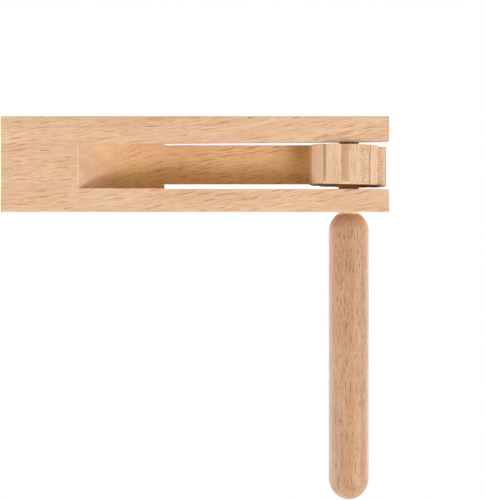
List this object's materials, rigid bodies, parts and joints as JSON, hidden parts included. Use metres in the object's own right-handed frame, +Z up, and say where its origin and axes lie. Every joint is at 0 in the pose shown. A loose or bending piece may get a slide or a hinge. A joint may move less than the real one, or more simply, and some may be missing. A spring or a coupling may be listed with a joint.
{
  "type": "ratchet noise maker",
  "caption": "Hand-spun wooden ratchet noise maker: a forked beech block whose sawn tongue clicks over a toothed cog on a turned handle.",
  "frame": {"origin": "on the handle's axis, halfway along the straight of the grip", "axes": "+Z up the handle to the block, +X along the block to its open end, +Y to the back"},
  "size_m": [0.2, 0.04, 0.1988],
  "materials": {
    "block_wood": "planed bare beech with short dark ray flecks",
    "tongue_wood": "sawn bare beech, a little warmer where the scoop was cut",
    "cog_wood": "sawn bare beech with crisp tooth edges",
    "axle_wood": "smooth beech dowel",
    "handle_wood": "turned bare beech, sanded smooth"
  },
  "bodies": {
    "handle": {"handle": "handle_wood", "axle": "axle_wood", "cog": "cog_wood"},
    "frame": {"frame_block": "block_wood"},
    "tongue": {"tongue": "tongue_wood"}
  },
  "joints": [
    {"name": "frame_spin", "type": "hinge", "parent": "handle", "child": "frame", "pos_m": [0, 0, 0], "axis": [0, 0, 1], "continuous": true},
    {"name": "tongue_flex", "type": "hinge", "parent": "frame", "child": "tongue", "pos_m": [-0.096, 0.0025, 0.098], "axis": [0, 0, 1], "range_deg": [-0.2, 0.8], "stiffness_Nm_per_rad": 2}
  ]
}
